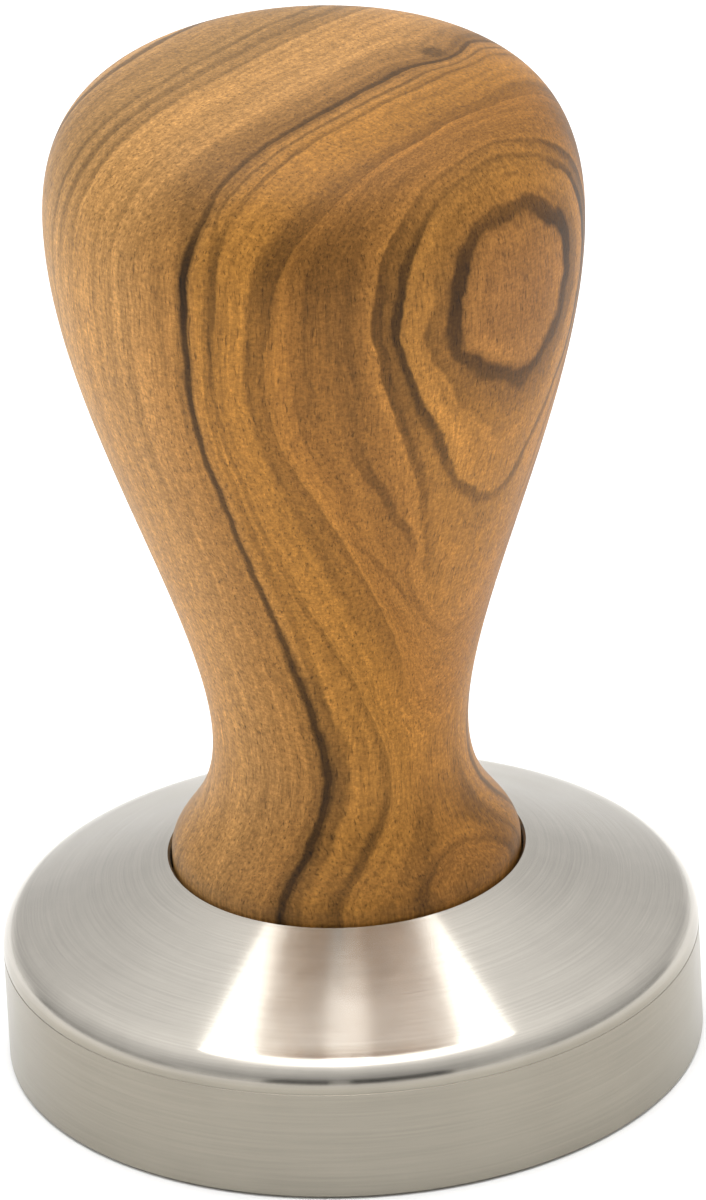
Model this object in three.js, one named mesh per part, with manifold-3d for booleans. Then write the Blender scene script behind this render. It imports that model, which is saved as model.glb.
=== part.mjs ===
// Espresso tamper: a turned stainless steel base, and a turned hardwood handle that screws down on it.
// A set screw fixed in the base turns in a brass insert inside the handle, and a nylon washer sits
// between the two. Millimetres, +Z up. The tamping face lies on z = 0 and the turning axis is Z.

import * as THREE from "three";
import { mergeVertices } from "three/addons/utils/BufferGeometryUtils.js";
import Module from "manifold-3d";

const wasm = await Module();
wasm.setup();

// ---------- Driving dimensions ----------

// Base
const BASE_DIAMETER = 58; // suits the common 58 mm filter basket
const BASE_HEIGHT = 17.6; // tamping face to the rim of the recess
const CONE_ANGLE = THREE.MathUtils.degToRad(22.8); // slope of the top, down from the rim
const SHOULDER_RADIUS = 2.6; // round between the cone and the wall
const FACE_CHAMFER = 0.3;
const RECESS_DIAMETER = 29.4; // pocket that the handle's foot stands in
const RECESS_DEPTH = 4;
const RIM_CHAMFER = 0.2;
const BASE_WEB = 4.5; // metal left under the tapped hole
const HOLE_COUNTERSINK = 0.6; // lead-in at the mouth of the tapped hole

// Handle
const OVERALL_HEIGHT = 88.5; // tamping face to the top of the crown
const FOOT_GAP = 0.2; // between the foot and the recess, all round
const FOOT_ABOVE_RIM = 0.5; // straight part of the foot that shows over the rim
const FOOT_CHAMFER = 0.5;
const NECK_DIAMETER = 21.2;
const NECK_ABOVE_RIM = 11; // rim of the recess to the narrowest place
const BULGE_DIAMETER = 44;
const CROWN_DEPTH = 13.3; // widest place to the top of the crown

// How far each end of a curve keeps its first direction, as a part of the curve's height or radius
const FLARE_FULLNESS = { foot: 0.25, neck: 0.66 };
const BELLY_FULLNESS = { neck: 0.245, bulge: 0.33 };
const CROWN_FULLNESS = { side: 0.99, top: 0.545 };

// Washer
const WASHER_THICKNESS = 1;
const WASHER_EDGE_GAP = 1; // to the wall of the recess
const WASHER_BORE_GAP = 0.5; // round the stud

// Stud, an M8 set screw
const STUD_DIAMETER = 8;
const STUD_LENGTH = 25;
const STUD_PITCH = 1.25;
const STUD_BOTTOM_GAP = 0.5; // under the stud, in the tapped hole
const STUD_CHAMFER = 0.9;
const SOCKET_ACROSS_FLATS = 4;
const SOCKET_DEPTH = 5;
const THREAD_CLEARANCE = 0.12; // between the stud and each thread that it fits

// Threaded insert
const INSERT_LENGTH = 15;
const INSERT_WALL = 2.25; // stud's thread to the crest of the insert's outer thread
const INSERT_INSET = 0.5; // below the face of the foot
const INSERT_PITCH = 3;
const INSERT_THREAD_DEPTH = 1;
const INSERT_CREST = 0.35;
const INSERT_CHAMFER = 0.8;
const INSERT_SLOT_WIDTH = 1.6;
const INSERT_SLOT_DEPTH = 2;
const INSERT_CLEARANCE = 0.1; // between the insert and the wood
const BORE_SPARE_DEPTH = 3; // hole in the wood past the end of the stud or insert
const DRILL_POINT_ANGLE = THREE.MathUtils.degToRad(118);

// Fineness of the faceted surfaces
const BASE_SIDES = 80;
const HANDLE_SIDES = 64;
const SMALL_SIDES = 32;
const THREAD_SIDES = 16; // steps in one turn of a thread
const SHOULDER_STEPS = 5;
const CURVE_STEPS = 9;

// ---------- Places that follow from the sizes ----------

const recessFloor = BASE_HEIGHT - RECESS_DEPTH;
const footFace = recessFloor + WASHER_THICKNESS;
const footRadius = RECESS_DIAMETER / 2 - FOOT_GAP;
const studBottom = BASE_WEB + STUD_BOTTOM_GAP;
const studTop = studBottom + STUD_LENGTH;
const insertBottom = footFace + INSERT_INSET;
const insertTop = insertBottom + INSERT_LENGTH;
const boreTop = Math.max(studTop, insertTop) + BORE_SPARE_DEPTH;

// ---------- Threads ----------

const FLANK_ANGLE = THREE.MathUtils.degToRad(30); // half of the 60 degree thread angle

// ISO metric proportions, with the crest and the depth as parts of the pitch
const studThread = {
  radius: STUD_DIAMETER / 2,
  pitch: STUD_PITCH,
  depth: 0.6134 * STUD_PITCH,
  crest: STUD_PITCH / 8,
};

const insertThread = {
  radius: STUD_DIAMETER / 2 + INSERT_WALL,
  pitch: INSERT_PITCH,
  depth: INSERT_THREAD_DEPTH,
  crest: INSERT_CREST,
};

// The same thread grown by a gap on its crests, roots and flanks, for the hole that it fits.
function grown(thread, gap) {
  const flankGrowth = gap * (1 / Math.cos(FLANK_ANGLE) - Math.tan(FLANK_ANGLE));
  return { ...thread, radius: thread.radius + gap, crest: thread.crest + 2 * flankGrowth };
}

function rootRadius(thread) {
  return thread.radius - thread.depth;
}

// A right-handed screw, longer than bottom to top by at least a turn at each end, to be cut to length.
// Each column of points climbs one side of the screw, and each next column is a step up the helix.
// After a whole turn the columns meet the first one again, one pitch higher.
function screwGeometry(thread, bottom, top) {
  const flank = thread.depth * Math.tan(FLANK_ANGLE);
  const section = [
    { radius: thread.radius, rise: -thread.crest / 2 },
    { radius: thread.radius, rise: thread.crest / 2 },
    { radius: rootRadius(thread), rise: thread.crest / 2 + flank },
    { radius: rootRadius(thread), rise: thread.pitch - thread.crest / 2 - flank },
  ];
  const perTurn = section.length;
  const firstTurn = Math.floor(bottom / thread.pitch) - 2;
  const turns = Math.ceil(top / thread.pitch) + 1 - firstTurn;
  const last = perTurn * turns;
  const positions = [];
  const columnStart = [];

  for (let side = 0; side < THREAD_SIDES; side++) {
    const turned = side / THREAD_SIDES;
    const angle = 2 * Math.PI * turned;
    const count = last + 1 + (side === 0 ? perTurn : 0);
    columnStart.push(positions.length / 3);
    for (let i = 0; i < count; i++) {
      const point = section[i % perTurn];
      const turn = firstTurn + Math.floor(i / perTurn) + turned;
      const x = point.radius * Math.cos(angle);
      const y = point.radius * Math.sin(angle);
      positions.push(x, y, thread.pitch * turn + point.rise);
    }
  }

  const vertex = (side, i) => (side < THREAD_SIDES ? columnStart[side] + i : i + perTurn);
  const heightOf = (index) => positions[3 * index + 2];
  const lowest = positions.length / 3;
  positions.push(0, 0, heightOf(vertex(0, 0)));
  const highest = lowest + 1;
  positions.push(0, 0, heightOf(vertex(THREAD_SIDES, last)));

  const triangles = [];
  for (let side = 0; side < THREAD_SIDES; side++) {
    for (let i = 0; i < last; i++) {
      triangles.push(vertex(side, i), vertex(side + 1, i), vertex(side + 1, i + 1));
      triangles.push(vertex(side, i), vertex(side + 1, i + 1), vertex(side, i + 1));
    }
    triangles.push(lowest, vertex(side + 1, 0), vertex(side, 0));
    triangles.push(highest, vertex(side, last), vertex(side + 1, last));
  }
  for (let i = 0; i < perTurn; i++) {
    triangles.push(lowest, vertex(0, i), vertex(0, i + 1));
    triangles.push(highest, vertex(0, last + i + 1), vertex(0, last + i));
  }

  const geometry = new THREE.BufferGeometry();
  geometry.setAttribute("position", new THREE.Float32BufferAttribute(positions, 3));
  geometry.setIndex(triangles);
  return geometry;
}

// ---------- Solids ----------

const MERGE_DISTANCE = 1e-4;

// A closed three.js geometry as a solid that can be joined and cut.
function solid(geometry) {
  geometry.deleteAttribute("normal");
  geometry.deleteAttribute("uv");
  const merged = mergeVertices(geometry, MERGE_DISTANCE);
  const triVerts = [];
  for (let i = 0; i < merged.index.count; i += 3) {
    const [a, b, c] = merged.index.array.slice(i, i + 3);
    if (a !== b && b !== c && c !== a) {
      triVerts.push(a, b, c);
    }
  }
  return new wasm.Manifold(
    new wasm.Mesh({
      numProp: 3,
      vertProperties: merged.attributes.position.array,
      triVerts: new Uint32Array(triVerts),
    }),
  );
}

// A solid of revolution about Z, from [radius, height] pairs that start and end on the axis.
function turned(profile, sides) {
  const points = profile.map(([radius, height]) => new THREE.Vector2(radius, height));
  const geometry = new THREE.LatheGeometry(points, sides);
  geometry.rotateX(Math.PI / 2);
  geometry.rotateZ(-Math.PI / 2); // a corner on +X, as the screws have
  return solid(geometry);
}

function screw(thread, bottom, top) {
  return solid(screwGeometry(thread, bottom, top));
}

// A rod from bottom to top with its two ends chamfered at 45 degrees.
function chamferedRod(radius, bottom, top, chamfer) {
  return turned(
    [
      [0, bottom],
      [radius - chamfer, bottom],
      [radius, bottom + chamfer],
      [radius, top - chamfer],
      [radius - chamfer, top],
      [0, top],
    ],
    SMALL_SIDES,
  );
}

function plainRod(radius, bottom, top) {
  return turned(
    [
      [0, bottom],
      [radius, bottom],
      [radius, top],
      [0, top],
    ],
    SMALL_SIDES,
  );
}

// The mesh of a finished solid, named, with its material.
function part(name, shape, material) {
  const made = shape.getMesh();
  const geometry = new THREE.BufferGeometry();
  geometry.setAttribute("position", new THREE.Float32BufferAttribute(made.vertProperties, 3));
  geometry.setIndex(Array.from(made.triVerts));
  geometry.computeVertexNormals();
  const mesh = new THREE.Mesh(geometry, material);
  mesh.name = name;
  return mesh;
}

// ---------- Base: turned stainless steel ----------

function baseShape() {
  const radius = BASE_DIAMETER / 2;
  const rim = RECESS_DIAMETER / 2;
  const slope = Math.tan(CONE_ANGLE);
  const coneTop = rim + RIM_CHAMFER;
  const cornerHeight = BASE_HEIGHT - (radius - coneTop) * slope;

  // The shoulder is an arc from the wall's direction to the cone's
  const arcSweep = Math.PI / 2 - CONE_ANGLE;
  const arcBottom = cornerHeight - SHOULDER_RADIUS * Math.tan(arcSweep / 2);
  const profile = [
    [0, 0],
    [radius - FACE_CHAMFER, 0],
    [radius, FACE_CHAMFER],
  ];
  for (let step = 0; step <= SHOULDER_STEPS; step++) {
    const angle = (arcSweep * step) / SHOULDER_STEPS;
    profile.push([
      radius - SHOULDER_RADIUS * (1 - Math.cos(angle)),
      arcBottom + SHOULDER_RADIUS * Math.sin(angle),
    ]);
  }
  profile.push(
    [coneTop, BASE_HEIGHT],
    [rim, BASE_HEIGHT - RIM_CHAMFER],
    [rim, recessFloor],
    [0, recessFloor],
  );
  return turned(profile, BASE_SIDES).subtract(tappedHole());
}

function tappedHole() {
  const tap = grown(studThread, THREAD_CLEARANCE);
  const above = recessFloor + 1;
  const length = plainRod(tap.radius + 1, BASE_WEB, above);
  const mouth = tap.radius + HOLE_COUNTERSINK;
  const countersink = turned(
    [
      [0, recessFloor - mouth],
      [mouth + 1, recessFloor + 1],
      [0, recessFloor + 1],
    ],
    SMALL_SIDES,
  );
  return screw(tap, BASE_WEB, above).intersect(length).add(countersink);
}

// ---------- Stud: M8 set screw with a hexagon socket in its upper end ----------

function studShape() {
  const body = chamferedRod(studThread.radius, studBottom, studTop, STUD_CHAMFER);
  const threaded = screw(studThread, studBottom, studTop).intersect(body);
  return threaded.subtract(hexagonSocket());
}

function hexagonSocket() {
  const cornerRadius = SOCKET_ACROSS_FLATS / 2 / Math.cos(Math.PI / 6);
  const above = 1;
  const height = SOCKET_DEPTH + above;
  const hexagon = new THREE.CylinderGeometry(cornerRadius, cornerRadius, height, 6);
  hexagon.rotateX(Math.PI / 2);
  hexagon.translate(0, 0, studTop + above - height / 2);
  return solid(hexagon);
}

// ---------- Washer: flat nylon ring on the floor of the recess ----------

function washerShape() {
  const outer = RECESS_DIAMETER / 2 - WASHER_EDGE_GAP;
  const inner = STUD_DIAMETER / 2 + WASHER_BORE_GAP;
  const disc = plainRod(outer, recessFloor, footFace);
  const bore = plainRod(inner, recessFloor - 1, footFace + 1);
  return disc.subtract(bore);
}

// ---------- Threaded insert: brass, screwed into the foot of the handle ----------

function insertShape() {
  const body = chamferedRod(insertThread.radius, insertBottom, insertTop, INSERT_CHAMFER);
  const tap = screw(grown(studThread, THREAD_CLEARANCE), insertBottom, insertTop);
  const outside = screw(insertThread, insertBottom, insertTop).intersect(body);
  return outside.subtract(tap).subtract(drivingSlot());
}

// The slot across the insert's lower end, by which it is driven into the wood
function drivingSlot() {
  const below = 1;
  const length = 2 * insertThread.radius + 2;
  const height = INSERT_SLOT_DEPTH + below;
  const slot = new THREE.BoxGeometry(length, INSERT_SLOT_WIDTH, height);
  slot.translate(0, 0, insertBottom - below + height / 2);
  return solid(slot);
}

// ---------- Handle: turned hardwood ----------

function handleShape() {
  const crown = OVERALL_HEIGHT;
  const bulge = { radius: BULGE_DIAMETER / 2, height: crown - CROWN_DEPTH };
  const neck = { radius: NECK_DIAMETER / 2, height: BASE_HEIGHT + NECK_ABOVE_RIM };
  const flareStart = BASE_HEIGHT + FOOT_ABOVE_RIM;
  const flareHeight = neck.height - flareStart;
  const bellyHeight = bulge.height - neck.height;

  const outline = new THREE.Path();
  outline.moveTo(0, footFace);
  outline.lineTo(footRadius - FOOT_CHAMFER, footFace);
  outline.lineTo(footRadius, footFace + FOOT_CHAMFER);
  outline.lineTo(footRadius, flareStart);
  outline.bezierCurveTo(
    footRadius,
    flareStart + FLARE_FULLNESS.foot * flareHeight,
    neck.radius,
    neck.height - FLARE_FULLNESS.neck * flareHeight,
    neck.radius,
    neck.height,
  );
  outline.bezierCurveTo(
    neck.radius,
    neck.height + BELLY_FULLNESS.neck * bellyHeight,
    bulge.radius,
    bulge.height - BELLY_FULLNESS.bulge * bellyHeight,
    bulge.radius,
    bulge.height,
  );
  outline.bezierCurveTo(
    bulge.radius,
    bulge.height + CROWN_FULLNESS.side * CROWN_DEPTH,
    CROWN_FULLNESS.top * bulge.radius,
    crown,
    0,
    crown,
  );
  const profile = outline.getPoints(CURVE_STEPS).map((point) => [point.x, point.y]);
  return turned(profile, HANDLE_SIDES).subtract(insertHole());
}

// The hole for the insert, with the thread that the insert cuts in the wood, and the drill's point
function insertHole() {
  const cut = grown(insertThread, INSERT_CLEARANCE);
  const below = footFace - 1;
  const threaded = screw(cut, below, insertTop).intersect(
    plainRod(cut.radius + 1, below, insertTop + INSERT_CLEARANCE),
  );
  const drill = rootRadius(cut);
  const pointHeight = drill / Math.tan(DRILL_POINT_ANGLE / 2);
  const drilled = turned(
    [
      [0, below],
      [drill, below],
      [drill, boreTop],
      [0, boreTop + pointHeight],
    ],
    SMALL_SIDES,
  );
  return threaded.add(drilled);
}

// ---------- Materials ----------

const steel = new THREE.MeshStandardMaterial({ color: 0xb9b7b0, roughness: 0.3, metalness: 1 });
const screwSteel = new THREE.MeshStandardMaterial({ color: 0x9d9c98, roughness: 0.4, metalness: 1 });
const oliveWood = new THREE.MeshStandardMaterial({ color: 0xb0834f, roughness: 0.5, metalness: 0 });
const brass = new THREE.MeshStandardMaterial({ color: 0xc8a24f, roughness: 0.35, metalness: 1 });
const nylon = new THREE.MeshStandardMaterial({ color: 0xe9e5da, roughness: 0.6, metalness: 0 });

// ---------- Assembly ----------

const tamper = new THREE.Group();
tamper.add(
  part("base", baseShape(), steel),
  part("stud", studShape(), screwSteel),
  part("washer", washerShape(), nylon),
  part("thread_insert", insertShape(), brass),
  part("handle", handleShape(), oliveWood),
);

export default tamper;
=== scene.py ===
"""Espresso tamper: stainless base, olive wood handle, and the screw joint between them."""

import math

import bmesh
import bpy
from mathutils import Matrix, Vector


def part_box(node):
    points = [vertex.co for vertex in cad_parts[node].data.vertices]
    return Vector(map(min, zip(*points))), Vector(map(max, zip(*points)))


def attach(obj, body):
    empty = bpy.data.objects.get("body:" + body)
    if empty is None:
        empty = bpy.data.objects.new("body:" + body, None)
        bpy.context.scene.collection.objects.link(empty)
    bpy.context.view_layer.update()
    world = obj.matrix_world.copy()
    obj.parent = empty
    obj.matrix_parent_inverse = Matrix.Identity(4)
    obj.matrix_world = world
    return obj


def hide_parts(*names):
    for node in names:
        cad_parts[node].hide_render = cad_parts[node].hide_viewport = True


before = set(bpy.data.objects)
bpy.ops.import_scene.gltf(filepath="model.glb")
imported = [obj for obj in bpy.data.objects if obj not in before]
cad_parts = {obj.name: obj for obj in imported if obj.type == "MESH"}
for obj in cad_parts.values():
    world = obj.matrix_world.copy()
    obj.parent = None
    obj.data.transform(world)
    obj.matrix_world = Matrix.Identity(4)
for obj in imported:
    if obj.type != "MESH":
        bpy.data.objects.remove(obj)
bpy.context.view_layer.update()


# ---------- Base ----------
# The tamping base is one piece of 18/8 stainless steel bar, turned on a lathe: face, wall, soft shoulder,
# cone, and a recess for the handle's foot with a tapped hole in its floor. It is rubbed down with fine
# abrasive while it spins, so every line in its surface runs round the axis. Sizes are in millimetres.

MM = 0.001

base_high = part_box("base")[1]
stud_low, stud_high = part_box("stud")
washer_low, washer_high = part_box("washer")

BASE_RADIUS = base_high.x / MM
RIM_HEIGHT = base_high.z / MM
FLOOR_HEIGHT = washer_low.z / MM  # floor of the recess
RECESS_RADIUS = 14.7
CONE_ANGLE = math.radians(22.8)
SHOULDER_RADIUS = 2.6
FACE_CHAMFER = 0.3
RIM_CHAMFER = 0.2
CREASE_DEPTH = 0.04  # a fine line that the tool leaves round the wall, just below the shoulder
CREASE_DROP = 0.3
HOLE_BOTTOM = stud_low.z / MM - 0.5  # the hole is drilled a little deeper than the stud goes
COUNTERSINK = 0.6

STUD_RADIUS = stud_high.x / MM
STUD_PITCH = 1.25
STUD_THREAD_DEPTH = 0.77
THREAD_GAP = 0.12
FLANK = math.tan(math.radians(30))
CREST_GROWTH = 1.15  # a crest grows this much wider for each unit of gap, so that the flanks clear too


def thread_radius(angle, height, crest_radius, pitch, depth, crest):
    """Radius of a right-handed thread at an angle round the axis and a height, all in millimetres."""
    phase = (height / pitch - angle / (2 * math.pi)) % 1.0
    from_crest = min(phase, 1.0 - phase) * pitch
    drop = (from_crest - crest / 2) / FLANK
    return crest_radius - min(max(drop, 0.0), depth)


def stud_thread(gap):
    """The stud's thread as a function of angle and height, grown by a gap for the holes it fits."""
    crest = STUD_PITCH / 8 + CREST_GROWTH * gap
    return lambda angle, height: thread_radius(
        angle, height, STUD_RADIUS + gap, STUD_PITCH, STUD_THREAD_DEPTH, crest)


def steps(start, end, count):
    """Count evenly spaced values after start, up to and including end."""
    return [start + (end - start) * (i + 1) / count for i in range(count)]


def arc(centre, radius, first, last, count):
    """Points of an arc in the radius-height plane, angles in radians from the radius direction."""
    return [(centre[0] + radius * math.cos(a), centre[1] + radius * math.sin(a))
            for a in [first] + steps(first, last, count)]


def turned_mesh(name, rows, columns, sharp=()):
    """A closed solid of revolution. A row is (radius, height) or (function of angle and height, height);
    the first and last rows are points on the axis. Edges round the rows listed in sharp stay crisp."""
    mesh = bmesh.new()
    rings = []
    for index, (radius, height) in enumerate(rows):
        if index in (0, len(rows) - 1):
            rings.append([mesh.verts.new((0, 0, height * MM))])
            continue
        ring = []
        for column in range(columns):
            angle = 2 * math.pi * column / columns
            r = radius(angle, height) if callable(radius) else radius
            ring.append(mesh.verts.new((r * math.cos(angle) * MM, r * math.sin(angle) * MM, height * MM)))
        rings.append(ring)
    for lower, upper in zip(rings, rings[1:]):
        for column in range(columns):
            following = (column + 1) % columns
            corners = [lower[column % len(lower)], lower[following % len(lower)],
                       upper[following % len(upper)], upper[column % len(upper)]]
            mesh.faces.new(list(dict.fromkeys(corners)))
    for face in mesh.faces:
        face.smooth = True
    for index in sharp:
        ring = rings[index]
        for column in range(columns):
            mesh.edges.get((ring[column], ring[(column + 1) % columns])).smooth = False
    data = bpy.data.meshes.new(name)
    mesh.to_mesh(data)
    mesh.free()
    piece = bpy.data.objects.new(name, data)
    bpy.context.scene.collection.objects.link(piece)
    return piece


def linear(hex_colour):
    """An sRGB hex colour as linear RGBA."""
    channels = [int(hex_colour[i:i + 2], 16) / 255 for i in (0, 2, 4)]
    return tuple(c / 12.92 if c <= 0.04045 else ((c + 0.055) / 1.055) ** 2.4 for c in channels) + (1.0,)


def add_node(tree, kind, inputs=None, **settings):
    """Adds a node. Each input is a plain value, or the output socket that is linked to it."""
    made = tree.nodes.new(kind)
    for name, value in settings.items():
        setattr(made, name, value)
    for socket, value in (inputs or {}).items():
        if isinstance(value, bpy.types.NodeSocket):
            tree.links.new(value, made.inputs[socket])
        else:
            made.inputs[socket].default_value = value
    return made


def new_material(name):
    """An empty material, with its node tree and its output node."""
    material = bpy.data.materials.new(name)
    material.use_nodes = True
    tree = material.node_tree
    tree.nodes.clear()
    return material, tree, tree.nodes.new("ShaderNodeOutputMaterial")


cone_top = RECESS_RADIUS + RIM_CHAMFER
corner_height = RIM_HEIGHT - (BASE_RADIUS - cone_top) * math.tan(CONE_ANGLE)
shoulder_sweep = math.pi / 2 - CONE_ANGLE
shoulder_bottom = corner_height - SHOULDER_RADIUS * math.tan(shoulder_sweep / 2)
crease_height = shoulder_bottom - CREASE_DROP
shoulder = arc((BASE_RADIUS - SHOULDER_RADIUS, shoulder_bottom), SHOULDER_RADIUS, 0, shoulder_sweep, 20)
shoulder_top = shoulder[-1][1]

tapped = stud_thread(THREAD_GAP)
tap_root = STUD_RADIUS + THREAD_GAP - STUD_THREAD_DEPTH
mouth_radius = STUD_RADIUS + THREAD_GAP + COUNTERSINK
mouth_bottom = FLOOR_HEIGHT - mouth_radius + tap_root


def countersunk(angle, height):
    """The tapped hole where its countersink is wider than its thread."""
    return max(tapped(angle, height), mouth_radius - (FLOOR_HEIGHT - height))


base_rows = [(0, 0)]
base_rows += [(r, 0) for r in steps(0, BASE_RADIUS - FACE_CHAMFER, 12)]
face_edge = len(base_rows) - 1
base_rows += [(BASE_RADIUS, FACE_CHAMFER)]
base_rows += [(BASE_RADIUS, h) for h in steps(FACE_CHAMFER, crease_height - CREASE_DEPTH, 8)]
crease = len(base_rows)
base_rows += [(BASE_RADIUS - CREASE_DEPTH, crease_height)]
base_rows += [(BASE_RADIUS, h) for h in steps(crease_height + CREASE_DEPTH, shoulder_bottom, 2)]
base_rows += shoulder[1:]
base_rows += [(r, RIM_HEIGHT - (r - cone_top) * math.tan(CONE_ANGLE))
              for r in steps(shoulder[-1][0], cone_top, 16)]
rim = len(base_rows) - 1
base_rows += [(RECESS_RADIUS, RIM_HEIGHT - RIM_CHAMFER)]
base_rows += [(RECESS_RADIUS, h) for h in steps(RIM_HEIGHT - RIM_CHAMFER, FLOOR_HEIGHT, 4)]
recess_edge = len(base_rows) - 1
base_rows += [(r, FLOOR_HEIGHT) for r in steps(RECESS_RADIUS, mouth_radius, 5)]
mouth = len(base_rows) - 1
base_rows += [(countersunk, h) for h in steps(FLOOR_HEIGHT, mouth_bottom, 12)]
base_rows += [(tapped, h) for h in steps(mouth_bottom, HOLE_BOTTOM, 90)]
hole_end = len(base_rows) - 1
base_rows += [(0, HOLE_BOTTOM)]

base = turned_mesh("turned_base", base_rows, columns=240,
                   sharp=(face_edge, face_edge + 1, crease - 1, crease, crease + 1, rim, rim + 1,
                          recess_edge, mouth, hole_end))


# Turned 18/8 stainless, satin. It reads as a warm grey metal whose reflections are drawn out square to the
# turning lines: a fan of light on the cone, soft bands on the wall.
LINE_SPACING = 0.2  # mm, as the next two
LINE_LENGTH = 12
CLOUD_SIZE = 7
NOISE_SPREAD = (0.3, 0.7)  # nearly all of a noise lies between these
BURNISH = 0.45  # share of its roughness that the shoulder loses
DARK_LINES, BRIGHT_LINES = 0.88, 1.1
# Painted shade: the tint that darkens and warms the wall below the shoulder
WALL_SHADE_TINT = (0.7, 0.685, 0.635, 1.0)


def satin_stainless(name, colour, roughness, line_depth):
    material, tree, output = new_material(name)
    place = add_node(tree, "ShaderNodeTexCoord").outputs["Object"]
    axes = add_node(tree, "ShaderNodeSeparateXYZ", {0: place})
    flat = add_node(tree, "ShaderNodeCombineXYZ", {0: axes.outputs[0], 1: axes.outputs[1]})
    radius = add_node(tree, "ShaderNodeVectorMath", {0: flat.outputs[0]}, operation="LENGTH")
    # Height less radius falls steadily down the outside, from the rim of the recess to the face
    outline = add_node(tree, "ShaderNodeMath", {0: axes.outputs[2], 1: radius.outputs["Value"]},
                       operation="SUBTRACT")
    # Rubbing lines, drawn coarser than the real ones, which are too fine to show
    round_way = add_node(tree, "ShaderNodeVectorMath",
                         {0: flat.outputs[0], "Scale": 1 / (LINE_LENGTH * MM)}, operation="SCALE")
    fine = add_node(tree, "ShaderNodeMath", {0: outline.outputs[0], 1: LINE_SPACING * MM},
                    operation="DIVIDE")
    along = add_node(tree, "ShaderNodeCombineXYZ", {2: fine.outputs[0]})
    stretched = add_node(tree, "ShaderNodeVectorMath", {0: round_way.outputs[0], 1: along.outputs[0]},
                         operation="ADD")
    lines = add_node(tree, "ShaderNodeTexNoise",
                     {"Vector": stretched.outputs[0], "Scale": 1.0, "Detail": 2.0, "Roughness": 0.6})
    # Light hand polishing leaves cloudy patches a few millimetres across
    cloud = add_node(tree, "ShaderNodeTexNoise",
                     {"Vector": place, "Scale": 1 / (CLOUD_SIZE * MM), "Detail": 4.0, "Roughness": 0.6})
    rough = add_node(tree, "ShaderNodeMapRange",
                     {"Value": cloud.outputs["Fac"], "From Min": NOISE_SPREAD[0],
                      "From Max": NOISE_SPREAD[1], "To Min": roughness - 0.02, "To Max": roughness + 0.03})
    # Hands and cloths burnish the shoulder, so it mirrors more sharply than the rest
    shoulder_starts = add_node(tree, "ShaderNodeMapRange",
                               {"Value": axes.outputs[2], "From Min": crease_height * MM,
                                "From Max": (shoulder_bottom + 0.2) * MM,
                                "To Min": 0.0, "To Max": BURNISH})
    shoulder_ends = add_node(tree, "ShaderNodeMapRange",
                             {"Value": axes.outputs[2], "From Min": (shoulder_top - 0.2) * MM,
                              "From Max": (shoulder_top + 0.5) * MM, "To Min": 1.0, "To Max": 0.0})
    burnish = add_node(tree, "ShaderNodeMath", {0: shoulder_starts.outputs[0], 1: shoulder_ends.outputs[0]},
                       operation="MULTIPLY")
    unburnished = add_node(tree, "ShaderNodeMath", {0: 1.0, 1: burnish.outputs[0]}, operation="SUBTRACT")
    rough = add_node(tree, "ShaderNodeMath", {0: rough.outputs[0], 1: unburnished.outputs[0]},
                     operation="MULTIPLY")
    worn = add_node(tree, "ShaderNodeMath", {0: lines.outputs["Fac"], 1: cloud.outputs["Fac"]},
                    operation="ADD")
    shade = add_node(tree, "ShaderNodeMapRange",
                     {"Value": worn.outputs[0], "From Min": 0.6, "From Max": 1.4})
    tint = add_node(tree, "ShaderNodeMix", {0: shade.outputs[0]}, data_type="RGBA")
    for socket, factor in ((6, DARK_LINES), (7, BRIGHT_LINES)):
        tint.inputs[socket].default_value = tuple(factor * c for c in linear(colour)[:3]) + (1.0,)
    grooves = add_node(tree, "ShaderNodeBump",
                       {"Height": lines.outputs["Fac"], "Strength": 0.5, "Distance": line_depth * MM})
    round_axis = add_node(tree, "ShaderNodeTangent", direction_type="RADIAL", axis="Z")
    # Painted shade: below the shoulder the wall is painted darker and a little warmer than the cone above
    # it, standing in for the shaded floor near the base that the wall reflects
    wall_shade_mask = add_node(tree, "ShaderNodeMapRange",
                      {"Value": axes.outputs[2], "From Min": shoulder_bottom * MM,
                       "From Max": (shoulder_bottom + 1.2) * MM, "To Min": 1.0, "To Max": 0.0},
                      interpolation_type="SMOOTHSTEP")
    shaded_wall_colour = add_node(tree, "ShaderNodeMix", {0: wall_shade_mask.outputs[0], 6: tint.outputs[2]},
                    data_type="RGBA", blend_type="MULTIPLY")
    shaded_wall_colour.inputs[7].default_value = WALL_SHADE_TINT
    shader = add_node(tree, "ShaderNodeBsdfPrincipled",
                      {"Base Color": shaded_wall_colour.outputs[2], "Metallic": 1.0, "Roughness": rough.outputs[0],
                       "Anisotropic": 1.0, "Anisotropic Rotation": 0.25,
                       "Tangent": round_axis.outputs[0], "Normal": grooves.outputs[0]})
    tree.links.new(shader.outputs[0], output.inputs["Surface"])
    return material


base.data.materials.append(satin_stainless("satin_turned_stainless", "b3aea5", 0.23, 0.002))
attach(base, "base_body")
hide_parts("base")


# ---------- Stud ----------
# An M8 x 25 set screw of A2 stainless, with a rolled thread, chamfered ends and a 4 mm hexagon socket.
# It is screwed to the bottom of its hole in the base and held there with thread locker.

STUD_BOTTOM = stud_low.z / MM
STUD_TOP = stud_high.z / MM
STUD_CHAMFER = 0.9
SOCKET_APOTHEM = 2.0
SOCKET_DEPTH = 5.0
SOCKET_POINT = 0.8  # depth of the drill point below the socket

rolled = stud_thread(0)


def stud_side(angle, height):
    """The thread, cut back by the chamfers at the two ends."""
    from_end = min(height - STUD_BOTTOM, STUD_TOP - height)
    return min(rolled(angle, height), STUD_RADIUS - STUD_CHAMFER + from_end)


def hexagon(angle, height):
    """The wall of the hexagon socket."""
    from_flat = (angle + math.pi / 6) % (math.pi / 3) - math.pi / 6
    return SOCKET_APOTHEM / math.cos(from_flat)


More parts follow.
